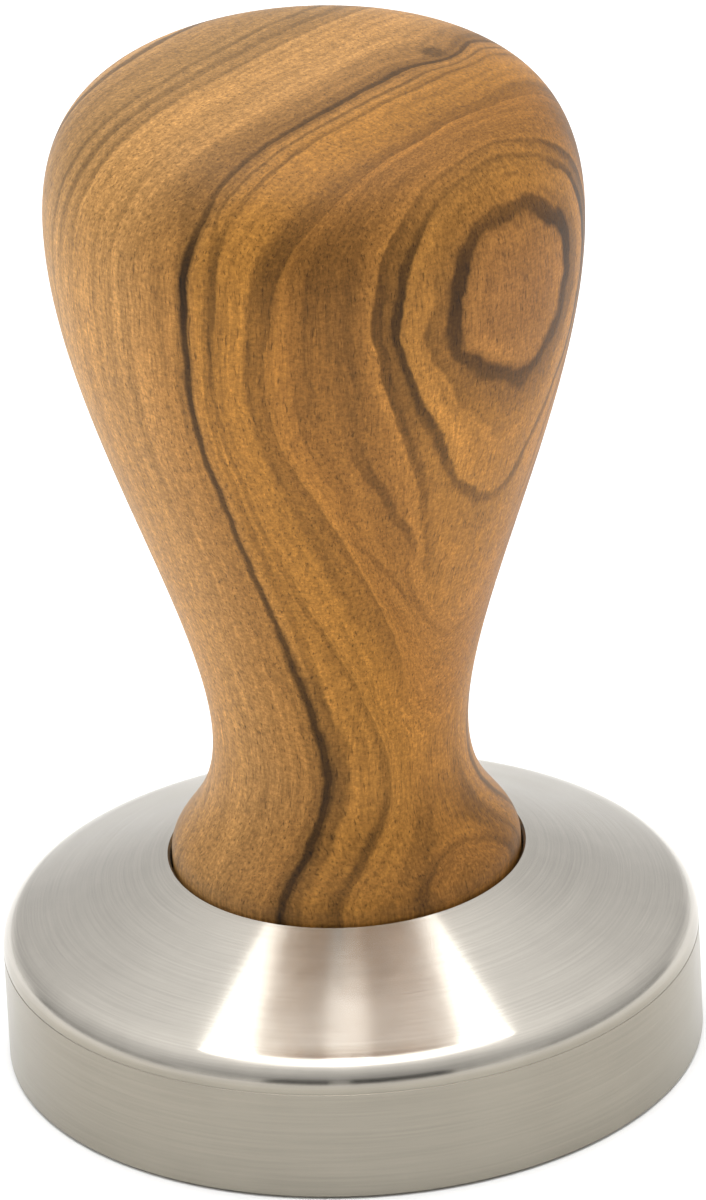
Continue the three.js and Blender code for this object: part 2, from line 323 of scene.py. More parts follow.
stud_rows = [(0, STUD_BOTTOM)]
stud_rows += [(r, STUD_BOTTOM) for r in steps(0, STUD_RADIUS - STUD_CHAMFER, 3)]
end_edge = len(stud_rows) - 1
stud_rows += [(stud_side, h) for h in steps(STUD_BOTTOM, STUD_TOP, 320)]
stud_rows += [(hexagon, STUD_TOP)]
socket_mouth = len(stud_rows) - 1
stud_rows += [(hexagon, h) for h in steps(STUD_TOP, STUD_TOP - SOCKET_DEPTH, 4)]
socket_end = len(stud_rows) - 1
stud_rows += [(0, STUD_TOP - SOCKET_DEPTH - SOCKET_POINT)]

stud = turned_mesh("set_screw", stud_rows, columns=72,
                   sharp=(end_edge, socket_mouth - 1, socket_mouth, socket_end))
stud.data.materials.append(satin_stainless("rolled_stainless_thread", "b4b1aa", 0.24, 0.002))
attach(stud, "base_body")
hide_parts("stud")


# ---------- Washer ----------
# A flat washer stamped from natural nylon sheet. It keeps the end grain of the foot off the steel and
# grips a little, so that the handle stays tight. Its edges are slightly rounded by the punch.

WASHER_BOTTOM = washer_low.z / MM
WASHER_TOP = washer_high.z / MM
WASHER_RADIUS = washer_high.x / MM
WASHER_BORE = STUD_RADIUS + 0.5  # radius of the hole, which clears the stud
WASHER_EDGE = 0.15


def ring_mesh(name, section, columns):
    """A closed ring: the section, a loop of (radius, height) points, swept round the axis."""
    mesh = bmesh.new()
    rings = [[mesh.verts.new((r * math.cos(2 * math.pi * c / columns) * MM,
                              r * math.sin(2 * math.pi * c / columns) * MM, h * MM))
              for c in range(columns)] for r, h in section]
    for index, ring in enumerate(rings):
        upper = rings[(index + 1) % len(rings)]
        for column in range(columns):
            following = (column + 1) % columns
            face = mesh.faces.new((ring[column], ring[following], upper[following], upper[column]))
            face.smooth = True
    data = bpy.data.meshes.new(name)
    mesh.to_mesh(data)
    mesh.free()
    piece = bpy.data.objects.new(name, data)
    bpy.context.scene.collection.objects.link(piece)
    return piece


quarter = math.pi / 2
outer_edge = WASHER_RADIUS - WASHER_EDGE
inner_edge = WASHER_BORE + WASHER_EDGE
low_edge = WASHER_BOTTOM + WASHER_EDGE
high_edge = WASHER_TOP - WASHER_EDGE
washer_section = arc((outer_edge, low_edge), WASHER_EDGE, -quarter, 0, 4)
washer_section += arc((outer_edge, high_edge), WASHER_EDGE, 0, quarter, 4)
washer_section += arc((inner_edge, high_edge), WASHER_EDGE, quarter, 2 * quarter, 4)
washer_section += arc((inner_edge, low_edge), WASHER_EDGE, 2 * quarter, 3 * quarter, 4)
washer = ring_mesh("nylon_washer", washer_section, columns=96)


# Natural nylon 6 sheet: milky, slightly see-through at its edges, with a fine sheeting texture.
def natural_nylon():
    material, tree, output = new_material("natural_nylon_sheet")
    place = add_node(tree, "ShaderNodeTexCoord").outputs["Object"]
    grain = add_node(tree, "ShaderNodeTexNoise", {"Vector": place, "Scale": 1 / (0.3 * MM), "Detail": 3.0})
    cloud = add_node(tree, "ShaderNodeTexNoise", {"Vector": place, "Scale": 1 / (5 * MM), "Detail": 2.0})
    tint = add_node(tree, "ShaderNodeMix", {0: cloud.outputs["Fac"]}, data_type="RGBA")
    tint.inputs[6].default_value = linear("e6e1d3")
    tint.inputs[7].default_value = linear("d8d0bd")
    rough = add_node(tree, "ShaderNodeMapRange",
                     {"Value": grain.outputs["Fac"], "To Min": 0.42, "To Max": 0.6})
    texture = add_node(tree, "ShaderNodeBump",
                       {"Height": grain.outputs["Fac"], "Strength": 0.4, "Distance": 0.01 * MM})
    shader = add_node(tree, "ShaderNodeBsdfPrincipled",
                      {"Base Color": tint.outputs[2], "Roughness": rough.outputs[0], "IOR": 1.53,
                       "Subsurface Weight": 0.3, "Subsurface Scale": 0.5 * MM,
                       "Normal": texture.outputs[0]})
    tree.links.new(shader.outputs[0], output.inputs["Surface"])
    return material


washer.data.materials.append(natural_nylon())
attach(washer, "washer_body")
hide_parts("washer")


# ---------- Handle ----------
# One piece of olive wood, turned between centres with the grain along the axis: a flared foot, a slim
# neck, a pear-shaped grip and a domed crown. It is sanded fine and oiled, so the pores stay open.

handle_low, handle_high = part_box("handle")
insert_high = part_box("thread_insert")[1]

FOOT_FACE = handle_low.z / MM
CROWN = handle_high.z / MM
BULGE_RADIUS = handle_high.x / MM
FOOT_RADIUS = RECESS_RADIUS - 0.2
FOOT_ROUND = 0.5
FLARE_START = RIM_HEIGHT + 0.5
NECK_RADIUS = 10.6
NECK_HEIGHT = RIM_HEIGHT + 11
BULGE_HEIGHT = CROWN - 13.3
INSERT_RADIUS = insert_high.x / MM
INSERT_TOP = insert_high.z / MM
INSERT_PITCH = 3.0
INSERT_THREAD_DEPTH = 1.0
INSERT_CREST = 0.35
WOOD_GAP = 0.1  # glue round the insert
BORE_TOP = max(STUD_TOP, INSERT_TOP) + 3
DRILL_POINT = math.tan(math.radians(31))  # rise of a 118 degree drill point for each unit of radius


def bezier(p0, p1, p2, p3, count):
    """Points after p0 on a cubic curve."""
    points = []
    for t in steps(0, 1, count):
        s = 1 - t
        points.append(tuple(s**3 * a + 3 * s * s * t * b + 3 * s * t * t * c + t**3 * d
                            for a, b, c, d in zip(p0, p1, p2, p3)))
    return points


def insert_thread(angle, height):
    """The thread that the insert has cut in the wood."""
    return thread_radius(angle, height, INSERT_RADIUS + WOOD_GAP, INSERT_PITCH, INSERT_THREAD_DEPTH,
                         INSERT_CREST + CREST_GROWTH * WOOD_GAP)


bore_radius = INSERT_RADIUS + WOOD_GAP - INSERT_THREAD_DEPTH
flare_height = NECK_HEIGHT - FLARE_START
belly_height = BULGE_HEIGHT - NECK_HEIGHT
crown_height = CROWN - BULGE_HEIGHT

handle_rows = [(0, BORE_TOP + bore_radius * DRILL_POINT)]
handle_rows += [(bore_radius, BORE_TOP)]
drill_edge = len(handle_rows) - 1
handle_rows += [(bore_radius, INSERT_TOP)]
handle_rows += [(insert_thread, h) for h in steps(INSERT_TOP, FOOT_FACE, 60)]
foot_face_start = len(handle_rows)
handle_rows += [(r, FOOT_FACE) for r in steps(INSERT_RADIUS + 0.6, FOOT_RADIUS - FOOT_ROUND, 6)]
foot_face_edge = len(handle_rows) - 1
handle_rows += arc((FOOT_RADIUS - FOOT_ROUND, FOOT_FACE + FOOT_ROUND), FOOT_ROUND, -quarter, 0, 5)[1:]
handle_rows += [(FOOT_RADIUS, h) for h in steps(FOOT_FACE + FOOT_ROUND, FLARE_START, 5)]
# Flare, belly and crown are smooth curves. The pull of each end is a share of the curve's height, or of
# its radius where the crown lies flat
handle_rows += bezier((FOOT_RADIUS, FLARE_START), (FOOT_RADIUS, FLARE_START + 0.25 * flare_height),
                      (NECK_RADIUS, NECK_HEIGHT - 0.66 * flare_height), (NECK_RADIUS, NECK_HEIGHT), 30)
handle_rows += bezier((NECK_RADIUS, NECK_HEIGHT), (NECK_RADIUS, NECK_HEIGHT + 0.245 * belly_height),
                      (BULGE_RADIUS, BULGE_HEIGHT - 0.33 * belly_height), (BULGE_RADIUS, BULGE_HEIGHT), 60)
handle_rows += bezier((BULGE_RADIUS, BULGE_HEIGHT), (BULGE_RADIUS, BULGE_HEIGHT + 0.99 * crown_height),
                      (0.545 * BULGE_RADIUS, CROWN), (0, CROWN), 60)

handle = turned_mesh("olive_handle", handle_rows, columns=240,
                     sharp=(drill_edge, foot_face_start, foot_face_edge))

# The figure. Growth layers stand nearly upright and face the front right; LAYER_FACING is that direction.
# Four layers guide the rest. Each pair is a height and the layer's place across the wood there, in mm.
# Every other layer keeps its share of the room between these four.
LAYER_FACING = math.radians(48)
GUIDE_LAYERS = {
    5.0: [(18, 4.7), (22, 5.4), (26, 5.9), (31, 6.1), (38, 5.9), (46, 5.5), (55, 5.0), (65, 4.6),
          (75, 4.9), (80, 5.15), (83, 5.9), (86, 7.2), (88.5, 9.0)],
    7.0: [(18, 8.6), (22, 8.9), (26, 9.2), (31, 9.3), (36, 9.3), (41, 9.0), (46, 8.3), (51, 7.6),
          (57, 7.1), (66, 6.7), (75, 6.9), (80, 7.2), (83, 7.9), (86, 9.2), (88.5, 11.0)],
    11.0: [(18, 13.2), (22, 12.1), (26, 11.0), (32, 10.9), (38, 11.5), (44, 12.1), (51, 12.3), (57, 11.8),
           (63, 11.0), (69, 10.8), (75, 11.1), (80, 11.7), (83, 12.6), (86, 14.0), (88.5, 16.0)],
    18.0: [(18, 16.0), (40, 13.4), (46, 14.3), (51, 15.4), (55, 16.4), (59, 17.4), (64, 17.8),
           (75, 18.05), (88.5, 18.3)],
}

# Broad tones of the wood from layer to layer: pale at the back left, honey and brown to the right
TONE_SPAN = 48.0  # mm of layers that the tones cover, half of it on each side of the axis
LAYER_TONES = [
    (-24, "b88b56"), (-12, "bc8e54"), (-6, "bb8a4e"), (-2, "b7874d"), (0, "b18148"), (3.6, "ab793e"),
    (5.2, "ac793b"), (6.0, "ad7836"), (9.0, "ad7733"), (12.4, "a77132"), (17.4, "a47034"),
    (19.2, "ac7736"), (20.2, "aa7535"), (22, "9a6936"),
]
# Dark veins: softness of the left and of the right side in mm, then the run of the vein up the blank as
# height, left edge and right edge in mm, and strength.
DARK_VEINS = [
    # The main vein, sharp on its right, with a brown halo that widens below the waist
    (0.45, 0.2, [(18, 4.75, 5.0, 0.66), (30, 4.75, 5.05, 0.78), (50, 4.8, 5.0, 0.7), (72, 4.75, 5.05, 0.76),
                 (80, 4.7, 5.1, 0.8), (83, 4.4, 4.75, 0.55), (86, 3.7, 3.9, 0.5), (88.3, 3.3, 3.6, 0.68)]),
    (0.5, 0.15, [(18, 4.1, 5.2, 0.32), (28, 3.9, 5.2, 0.32), (58, 4.0, 5.2, 0.28), (66, 3.9, 5.2, 0.36),
                 (81, 3.9, 5.25, 0.36), (84, 2.5, 5.0, 0.24), (88, 2.2, 4.0, 0.24)]),
    (0.1, 0.35, [(18, 5.2, 5.5, 0.3), (30, 5.2, 5.75, 0.45), (38, 5.2, 5.6, 0.3), (46, 5.2, 5.3, 0.0)]),
    # The second vein, which splits in two strands below the bulge
    (0.2, 0.2, [(34, 5.3, 5.5, 0.0), (38, 5.45, 5.8, 0.3), (50, 5.95, 6.3, 0.34), (66, 6.2, 6.55, 0.34),
                (72, 6.4, 7.0, 0.34), (81, 6.4, 7.0, 0.3), (84, 5.3, 5.4, 0.34), (88, 4.9, 5.1, 0.42)]),
    (0.25, 0.2, [(18, 6.9, 7.5, 0.36), (32, 7.0, 7.4, 0.34), (50, 6.95, 7.25, 0.36), (66, 6.8, 7.1, 0.36),
                 (81, 6.8, 7.1, 0.26), (85, 6.3, 6.5, 0.3), (88, 6.2, 6.4, 0.36)]),
    # The third, soft on its left
    (1.0, 0.18, [(18, 10.2, 10.9, 0.3), (32, 10.4, 10.9, 0.12), (42, 10.2, 11.3, 0.36),
                 (52, 10.0, 11.5, 0.4), (60, 10.0, 11.1, 0.4), (75, 10.0, 11.05, 0.42),
                 (84, 10.6, 12.2, 0.36)]),
    # The broad brown zone and the slanting streaks at its foot
    (1.7, 0.9, [(38, 12.6, 16.0, 0.05), (50, 12.6, 17.0, 0.26), (60, 13.4, 16.8, 0.34),
                (78, 13.8, 16.8, 0.36), (84, 13.8, 16.8, 0.15), (88, 13.8, 16.8, 0.1)]),
    (0.3, 0.3, [(50, 17.6, 17.9, 0.0), (53, 17.1, 17.5, 0.3), (57, 16.0, 16.4, 0.34), (61, 15.2, 15.7, 0.3),
                (66, 15.0, 15.2, 0.0)]),
    (0.3, 0.3, [(44, 16.3, 16.6, 0.0), (47, 15.6, 16.0, 0.24), (51, 13.6, 14.1, 0.24),
                (56, 11.4, 11.8, 0.0)]),
    # The outer ring of the eye: brown, with a dark strand down each side
    (0.2, 0.2, [(54, 18.1, 18.2, 0.0), (61, 17.9, 19.1, 0.14), (67, 17.8, 19.05, 0.4),
                (80, 17.8, 19.05, 0.4), (84, 17.7, 19.0, 0.12)]),
    (0.15, 0.25, [(44, 18.3, 18.35, 0.1), (54, 18.05, 18.15, 0.34), (61, 17.95, 18.15, 0.36),
                  (68, 17.8, 18.1, 0.34), (81, 17.8, 18.1, 0.36), (85, 17.8, 17.9, 0.2)]),
    (0.25, 0.14, [(53, 19.6, 19.7, 0.3), (55, 19.4, 19.5, 0.5), (60, 19.1, 19.2, 0.52),
                  (70, 18.9, 19.1, 0.6), (79, 18.8, 19.05, 0.58), (83, 18.8, 18.9, 0.25)]),
    # The inner ring of the eye, and the brown heart inside it
    (0.2, 0.3, [(60, 20.15, 21.1, 0.28), (79, 20.2, 21.1, 0.34), (82, 20.2, 21.1, 0.12)]),
    (0.2, 0.15, [(62, 21.0, 21.1, 0.6), (70, 20.85, 21.05, 0.55), (78, 20.75, 21.1, 0.68),
                 (82, 20.8, 21.0, 0.35)]),
    # Brown patches where the grain runs out through the crown and through the flare of the foot; on the
    # crown they are partly painted shade, as the crown gets less light from above
    (1.0, 1.0, [(75, 10.5, 16.0, 0.0), (79, 10.5, 16.0, 0.26), (82, 10.5, 15.5, 0.28),
                (85, 10.5, 14, 0.0)]),
    (1.5, 0.5, [(81, 1.6, 3.4, 0.0), (84, 0.8, 3.2, 0.2), (88, 0.6, 2.8, 0.22)]),
    (2.0, 2.0, [(78, -16, -10, 0.0), (83, -16, -10, 0.2), (88, -16, -9, 0.24)]),
    (0.4, 0.4, [(20, 7.1, 7.6, 0.0), (23, 7.1, 7.6, 0.3), (25, 7.1, 7.6, 0.26), (28, 7.1, 7.6, 0.0)]),
    (0.4, 0.4, [(20, 10.1, 10.7, 0.0), (23, 10.1, 10.7, 0.3), (25, 10.1, 10.7, 0.26),
                (28, 10.1, 10.7, 0.0)]),
    (0.3, 0.4, [(17, 11.1, 11.7, 0.2), (19.5, 11.1, 11.7, 0.5), (22, 11.1, 11.7, 0.0)]),
    # Thin streaks on the pale side
    (0.5, 0.25, [(18, -8.0, -7.9, 0.1), (75, -8.0, -7.9, 0.1), (86, -8.0, -7.8, 0.35)]),
    (0.5, 0.3, [(18, -9.6, -9.5, 0.1), (75, -9.6, -9.5, 0.1), (86, -9.8, -9.4, 0.35)]),
    (0.4, 0.2, [(18, -11.4, -11.2, 0.2), (86, -11.5, -11.3, 0.35)]),
    (0.6, 0.25, [(18, -17.8, -17.4, 0.6), (86, -17.8, -17.4, 0.6)]),
]
# A small knot at the right of the crown, in mm: the layers round it are pushed aside within its reach
KNOT_PLACE = (10.2, 1.8, 88.0)
KNOT_REACH = 5.0
KNOT_PUSH = 1.5
KNOT_HEART, KNOT_RIM = 0.5, 1.6  # darkest out to the heart's radius, and clear from the rim's on
KNOT_DARKEST = 0.45
# Painted shade, given as a brightness at each height: darkest on the foot down in the recess of the base,
# darker up the flare towards it, and darker on the crown, which gets less light from above.
HEIGHT_SHADE = [(14, 0.5), (18, 0.6), (21, 0.74), (28, 0.98), (74, 1.0), (81, 0.84), (85, 0.76), (88.5, 0.74)]


# Olive wood, sanded to a satin and oiled. The eye sees honey and brown layers, thin dark veins, and on top
# of them short fibre streaks and open pores that run along the grain.
CURVE_TOP = 100.0  # height in mm that a curve over the height reaches
CURVE_ROOM = 50.0  # a curve holds values from minus half of this to plus half


def oiled_olive_wood():
    material, tree, output = new_material("oiled_olive_wood")
    place = add_node(tree, "ShaderNodeTexCoord").outputs["Object"]
    blank = add_node(tree, "ShaderNodeVectorMath", {0: place, "Scale": 1 / MM},
                     operation="SCALE").outputs[0]
    height = add_node(tree, "ShaderNodeSeparateXYZ", {0: blank}).outputs[2]
    facing = (math.sin(LAYER_FACING), -math.cos(LAYER_FACING), 0.0)
    across = add_node(tree, "ShaderNodeVectorMath", {0: blank, 1: facing},
                      operation="DOT_PRODUCT").outputs["Value"]
    sideways = (math.cos(LAYER_FACING), math.sin(LAYER_FACING), 0.0)
    beside = add_node(tree, "ShaderNodeVectorMath", {0: blank, 1: sideways},
                      operation="DOT_PRODUCT").outputs["Value"]

    # The layers waver by a few tenths of a millimetre over a centimetre
    waver = add_node(tree, "ShaderNodeTexNoise",
                     {"Vector": blank, "Scale": 1 / 11, "Detail": 3.0, "Roughness": 0.5})
    shift = add_node(tree, "ShaderNodeMapRange",
                     {"Value": waver.outputs["Fac"], "To Min": -0.8, "To Max": 0.8})
    across = add_node(tree, "ShaderNodeMath", {0: across, 1: shift.outputs[0]}, operation="ADD").outputs[0]

    # The layers bend round the knot, which is dark at its heart
    from_knot = add_node(tree, "ShaderNodeVectorMath", {0: blank, 1: KNOT_PLACE}, operation="DISTANCE")
    pushed = add_node(tree, "ShaderNodeMapRange",
                      {"Value": from_knot.outputs["Value"], "From Min": 0.0, "From Max": KNOT_REACH,
                       "To Min": -KNOT_PUSH, "To Max": 0.0}, interpolation_type="SMOOTHSTEP")
    across = add_node(tree, "ShaderNodeMath", {0: across, 1: pushed.outputs[0]}, operation="ADD").outputs[0]
    knot = add_node(tree, "ShaderNodeMapRange",
                    {"Value": from_knot.outputs["Value"], "From Min": KNOT_HEART, "From Max": KNOT_RIM,
                     "To Min": KNOT_DARKEST, "To Max": 1.0}, interpolation_type="SMOOTHSTEP")

    # Every value that changes up the blank is a curve over the height, scaled to fit between 0 and 1
    part_height = add_node(tree, "ShaderNodeMath", {0: height, 1: CURVE_TOP},
                           operation="DIVIDE").outputs[0]
    runs = list(GUIDE_LAYERS.values()) + [HEIGHT_SHADE]
    for _, _, run in DARK_VEINS:
        runs += [[(point[0], point[column]) for point in run] for column in (1, 2, 3)]
    values = []
    for run in runs:
        curve = add_node(tree, "ShaderNodeFloatCurve", {"Value": part_height})
        curve.mapping.extend = "HORIZONTAL"
        points = curve.mapping.curves[0].points
        for _ in run[2:]:
            points.new(0.5, 0.5)
        for point, (at_height, value) in zip(points, run):
            point.location = (at_height / CURVE_TOP, value / CURVE_ROOM + 0.5)
        curve.mapping.update()
        scaled = add_node(tree, "ShaderNodeMath", {0: curve.outputs[0], 1: CURVE_ROOM, 2: -CURVE_ROOM / 2},
                          operation="MULTIPLY_ADD")
        values.append(scaled.outputs[0])
    places = values[:len(GUIDE_LAYERS)]
    # The painted shade over the height
    height_shade = values[len(GUIDE_LAYERS)]
    vein_values = values[len(GUIDE_LAYERS) + 1:]

    # Before the first guide layer and beyond the last, the layers run on beside them
    layers = list(GUIDE_LAYERS)
    before = add_node(tree, "ShaderNodeMath", {0: across, 1: places[0]}, operation="SUBTRACT")
    before = add_node(tree, "ShaderNodeMath", {0: before.outputs[0], 1: 0.0}, operation="MINIMUM")
    layer = add_node(tree, "ShaderNodeMath", {0: before.outputs[0], 1: layers[0]},
                     operation="ADD").outputs[0]
    for index in range(len(layers) - 1):
        share = add_node(tree, "ShaderNodeMapRange",
                         {"Value": across, "From Min": places[index], "From Max": places[index + 1],
                          "To Min": 0.0, "To Max": layers[index + 1] - layers[index]})
        layer = add_node(tree, "ShaderNodeMath", {0: layer, 1: share.outputs[0]},
                         operation="ADD").outputs[0]
    beyond = add_node(tree, "ShaderNodeMath", {0: across, 1: places[-1]}, operation="SUBTRACT")
    beyond = add_node(tree, "ShaderNodeMath", {0: beyond.outputs[0], 1: 0.0}, operation="MAXIMUM")
    layer = add_node(tree, "ShaderNodeMath", {0: layer, 1: beyond.outputs[0]},
                     operation="ADD").outputs[0]

    # Position in the wood itself: across the layers, along a layer, and up the grain
    in_wood = add_node(tree, "ShaderNodeCombineXYZ", {0: layer, 1: beside, 2: height}).outputs[0]

    tones = add_node(tree, "ShaderNodeValToRGB")
    tones_at = add_node(tree, "ShaderNodeMath", {0: layer, 1: 1 / TONE_SPAN, 2: 0.5},
                        operation="MULTIPLY_ADD")
    tree.links.new(tones_at.outputs[0], tones.inputs[0])
    stops = tones.color_ramp.elements
    while len(stops) < len(LAYER_TONES):
        stops.new(0.5)
    for stop, (at, colour) in zip(stops, LAYER_TONES):
        stop.position = at / TONE_SPAN + 0.5
        stop.color = linear(colour)

    # Veins, with edges that stray by a tenth of a millimetre or two. Clear is 1 away from every vein where
    # no shade is painted, and falls with the veins and with the painted shade over the height
    stray = add_node(tree, "ShaderNodeTexNoise", {"Vector": blank, "Scale": 1 / 3, "Detail": 2.0})
    ragged = add_node(tree, "ShaderNodeMapRange",
                      {"Value": stray.outputs["Fac"], "To Min": -0.25, "To Max": 0.25})
    ragged = add_node(tree, "ShaderNodeMath", {0: layer, 1: ragged.outputs[0]}, operation="ADD").outputs[0]
    # Starts from the painted shade over the height; each vein then multiplies into it
    clear = height_shade
    for index, (left, right, run) in enumerate(DARK_VEINS):
        start, end, strength = vein_values[3 * index:3 * index + 3]
        start_outer = add_node(tree, "ShaderNodeMath", {0: start, 1: left}, operation="SUBTRACT")
        end_outer = add_node(tree, "ShaderNodeMath", {0: end, 1: right}, operation="ADD")
        rise = add_node(tree, "ShaderNodeMapRange",
                        {"Value": ragged, "From Min": start_outer.outputs[0], "From Max": start,
                         "To Max": strength}, interpolation_type="SMOOTHSTEP")
        fall = add_node(tree, "ShaderNodeMapRange",
                        {"Value": ragged, "From Min": end, "From Max": end_outer.outputs[0],
                         "To Min": 1.0, "To Max": 0.0}, interpolation_type="SMOOTHSTEP")
        vein = add_node(tree, "ShaderNodeMath", {0: rise.outputs[0], 1: fall.outputs[0]},
                        operation="MULTIPLY")
        spared = add_node(tree, "ShaderNodeMath", {0: 1.0, 1: vein.outputs[0]}, operation="SUBTRACT")
        clear = add_node(tree, "ShaderNodeMath", {0: clear, 1: spared.outputs[0]},
                         operation="MULTIPLY").outputs[0]

    # Grain patterns. Each is stretched by a scale per mm across the layers, along them and up the grain.
    # Fine growth lines, about two to a millimetre, long in the layer and in the grain
    thin = add_node(tree, "ShaderNodeVectorMath", {0: in_wood, 1: (2.0, 0.06, 0.03)}, operation="MULTIPLY")
    growth = add_node(tree, "ShaderNodeTexNoise",
                      {"Vector": thin.outputs[0], "Scale": 1.0, "Detail": 3.0, "Roughness": 0.6})
    # Fibres a quarter of a millimetre wide and about 3 mm long
    long = add_node(tree, "ShaderNodeVectorMath", {0: in_wood, 1: (4.0, 4.0, 0.35)}, operation="MULTIPLY")
    fibres = add_node(tree, "ShaderNodeTexNoise",
                      {"Vector": long.outputs[0], "Scale": 1.0, "Detail": 4.0, "Roughness": 0.65})
    # Open pores, 0.15 mm across and about 1 mm long
    dashes = add_node(tree, "ShaderNodeVectorMath", {0: in_wood, 1: (6.5, 6.5, 0.9)}, operation="MULTIPLY")
    pore = add_node(tree, "ShaderNodeTexNoise",
                    {"Vector": dashes.outputs[0], "Scale": 1.0, "Detail": 1.0, "Roughness": 0.5})
    pores = add_node(tree, "ShaderNodeMapRange",
                     {"Value": pore.outputs["Fac"], "From Min": 0.62, "From Max": 0.72})
    # Ray flecks, a third of a millimetre high, that cross the grain
    flat = add_node(tree, "ShaderNodeVectorMath", {0: in_wood, 1: (1.3, 1.3, 3.4)}, operation="MULTIPLY")
    flecks = add_node(tree, "ShaderNodeTexNoise",
                      {"Vector": flat.outputs[0], "Scale": 1.0, "Detail": 3.0, "Roughness": 0.7})
    # Brown streaks a millimetre or two wide that follow the layers
    streak_place = add_node(tree, "ShaderNodeVectorMath", {0: in_wood, 1: (0.8, 0.06, 0.05)},
                            operation="MULTIPLY")
    streaks = add_node(tree, "ShaderNodeTexNoise",
                       {"Vector": streak_place.outputs[0], "Scale": 1.0, "Detail": 4.0, "Roughness": 0.6})
    # The cut ends of fibres and the marks of sanding, about a quarter of a millimetre across
    speckle = add_node(tree, "ShaderNodeTexNoise",
                       {"Vector": in_wood, "Scale": 3.6, "Detail": 2.0, "Roughness": 0.7})

    # Each pattern scales the colour: its range, and the factors that the two ends of the range give
    colour = tones.outputs[0]
    for source, (low, high), at_low, at_high in (
        (clear, (0.0, 1.0), 0.0, 1.0),
        (knot.outputs[0], (0.0, 1.0), 0.0, 1.0),
        (streaks.outputs["Fac"], NOISE_SPREAD, 0.8, 1.18),
        (growth.outputs["Fac"], NOISE_SPREAD, 0.85, 1.14),
        (fibres.outputs["Fac"], NOISE_SPREAD, 0.72, 1.26),
        (flecks.outputs["Fac"], NOISE_SPREAD, 0.84, 1.15),
        (speckle.outputs["Fac"], NOISE_SPREAD, 0.75, 1.25),
        (pores.outputs[0], (0.0, 1.0), 1.0, 0.5),
    ):
        factor = add_node(tree, "ShaderNodeMapRange",
                          {"Value": source, "From Min": low, "From Max": high,
                           "To Min": at_low, "To Max": at_high})
        colour = add_node(tree, "ShaderNodeVectorMath", {0: colour, "Scale": factor.outputs[0]},
                          operation="SCALE").outputs[0]

    rough = add_node(tree, "ShaderNodeMapRange",
                     {"Value": fibres.outputs["Fac"], "From Min": NOISE_SPREAD[0],
                      "From Max": NOISE_SPREAD[1], "To Min": 0.42, "To Max": 0.56})
    relief = add_node(tree, "ShaderNodeMath", {0: fibres.outputs["Fac"], 1: pores.outputs[0]},
                      operation="SUBTRACT")
    texture = add_node(tree, "ShaderNodeBump",
                       {"Height": relief.outputs[0], "Strength": 0.35, "Distance": 0.03 * MM})
    shader = add_node(tree, "ShaderNodeBsdfPrincipled",
                      {"Base Color": colour, "Roughness": rough.outputs[0], "IOR": 1.5,
                       "Specular IOR Level": 0.15, "Normal": texture.outputs[0]})
    tree.links.new(shader.outputs[0], output.inputs["Surface"])
    return material


handle.data.materials.append(oiled_olive_wood())
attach(handle, "handle_body")
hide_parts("handle")


# ---------- Threaded insert ----------
# A machined brass insert with a coarse outer thread that bites in the wood, and M8 inside for the stud.
# It is screwed into the foot and glued, and keeps its CAD shape, because it is hidden in the wood.

# Free-cutting brass, as machined: yellow, bright, with tool lines round it.
def machined_brass():
    material, tree, output = new_material("machined_brass")
    place = add_node(tree, "ShaderNodeTexCoord").outputs["Object"]
    stretched = add_node(tree, "ShaderNodeVectorMath", {0: place, 1: (0.1, 0.1, 1.0)}, operation="MULTIPLY")
    lines = add_node(tree, "ShaderNodeTexNoise",
                     {"Vector": stretched.outputs[0], "Scale": 1 / (0.12 * MM), "Detail": 3.0})
    stain = add_node(tree, "ShaderNodeTexNoise", {"Vector": place, "Scale": 1 / (3 * MM), "Detail": 4.0})
    tint = add_node(tree, "ShaderNodeMix", {0: stain.outputs["Fac"]}, data_type="RGBA")
    tint.inputs[6].default_value = linear("d9b765")
    tint.inputs[7].default_value = linear("b8924a")
    rough = add_node(tree, "ShaderNodeMapRange",
                     {"Value": lines.outputs["Fac"], "To Min": 0.2, "To Max": 0.4})
    texture = add_node(tree, "ShaderNodeBump",
                       {"Height": lines.outputs["Fac"], "Strength": 0.3, "Distance": 0.005 * MM})
    shader = add_node(tree, "ShaderNodeBsdfPrincipled",
                      {"Base Color": tint.outputs[2], "Metallic": 1.0, "Roughness": rough.outputs[0],
                       "Normal": texture.outputs[0]})
    tree.links.new(shader.outputs[0], output.inputs["Surface"])
    return material


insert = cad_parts["thread_insert"]
insert.data.materials.clear()
insert.data.materials.append(machined_brass())


# ---------- Studio ----------
# A white card for a floor, and a pale room, brightest overhead, with something dark low down at each side
# and in front. Three soft boxes hang above, and the cone draws them out into beams of light.

FLOOR_HALF = 0.75
FLOOR_WHITE = 0.9
floor_mesh = bpy.data.meshes.new("studio_floor")
floor_mesh.from_pydata([(-FLOOR_HALF, -FLOOR_HALF, 0), (FLOOR_HALF, -FLOOR_HALF, 0),
                        (FLOOR_HALF, FLOOR_HALF, 0), (-FLOOR_HALF, FLOOR_HALF, 0)], [], [(0, 1, 2, 3)])
floor = bpy.data.objects.new("studio_floor", floor_mesh)
bpy.context.scene.collection.objects.link(floor)
floor_material, floor_tree, floor_output = new_material("white_card")
card = add_node(floor_tree, "ShaderNodeBsdfDiffuse", {"Color": (FLOOR_WHITE,) * 3 + (1.0,)})
floor_tree.links.new(card.outputs[0], floor_output.inputs["Surface"])
floor.data.materials.append(floor_material)

world = bpy.data.worlds.new("pale_room")
bpy.context.scene.world = world
world.use_nodes = True
sky = world.node_tree
sky.nodes.clear()
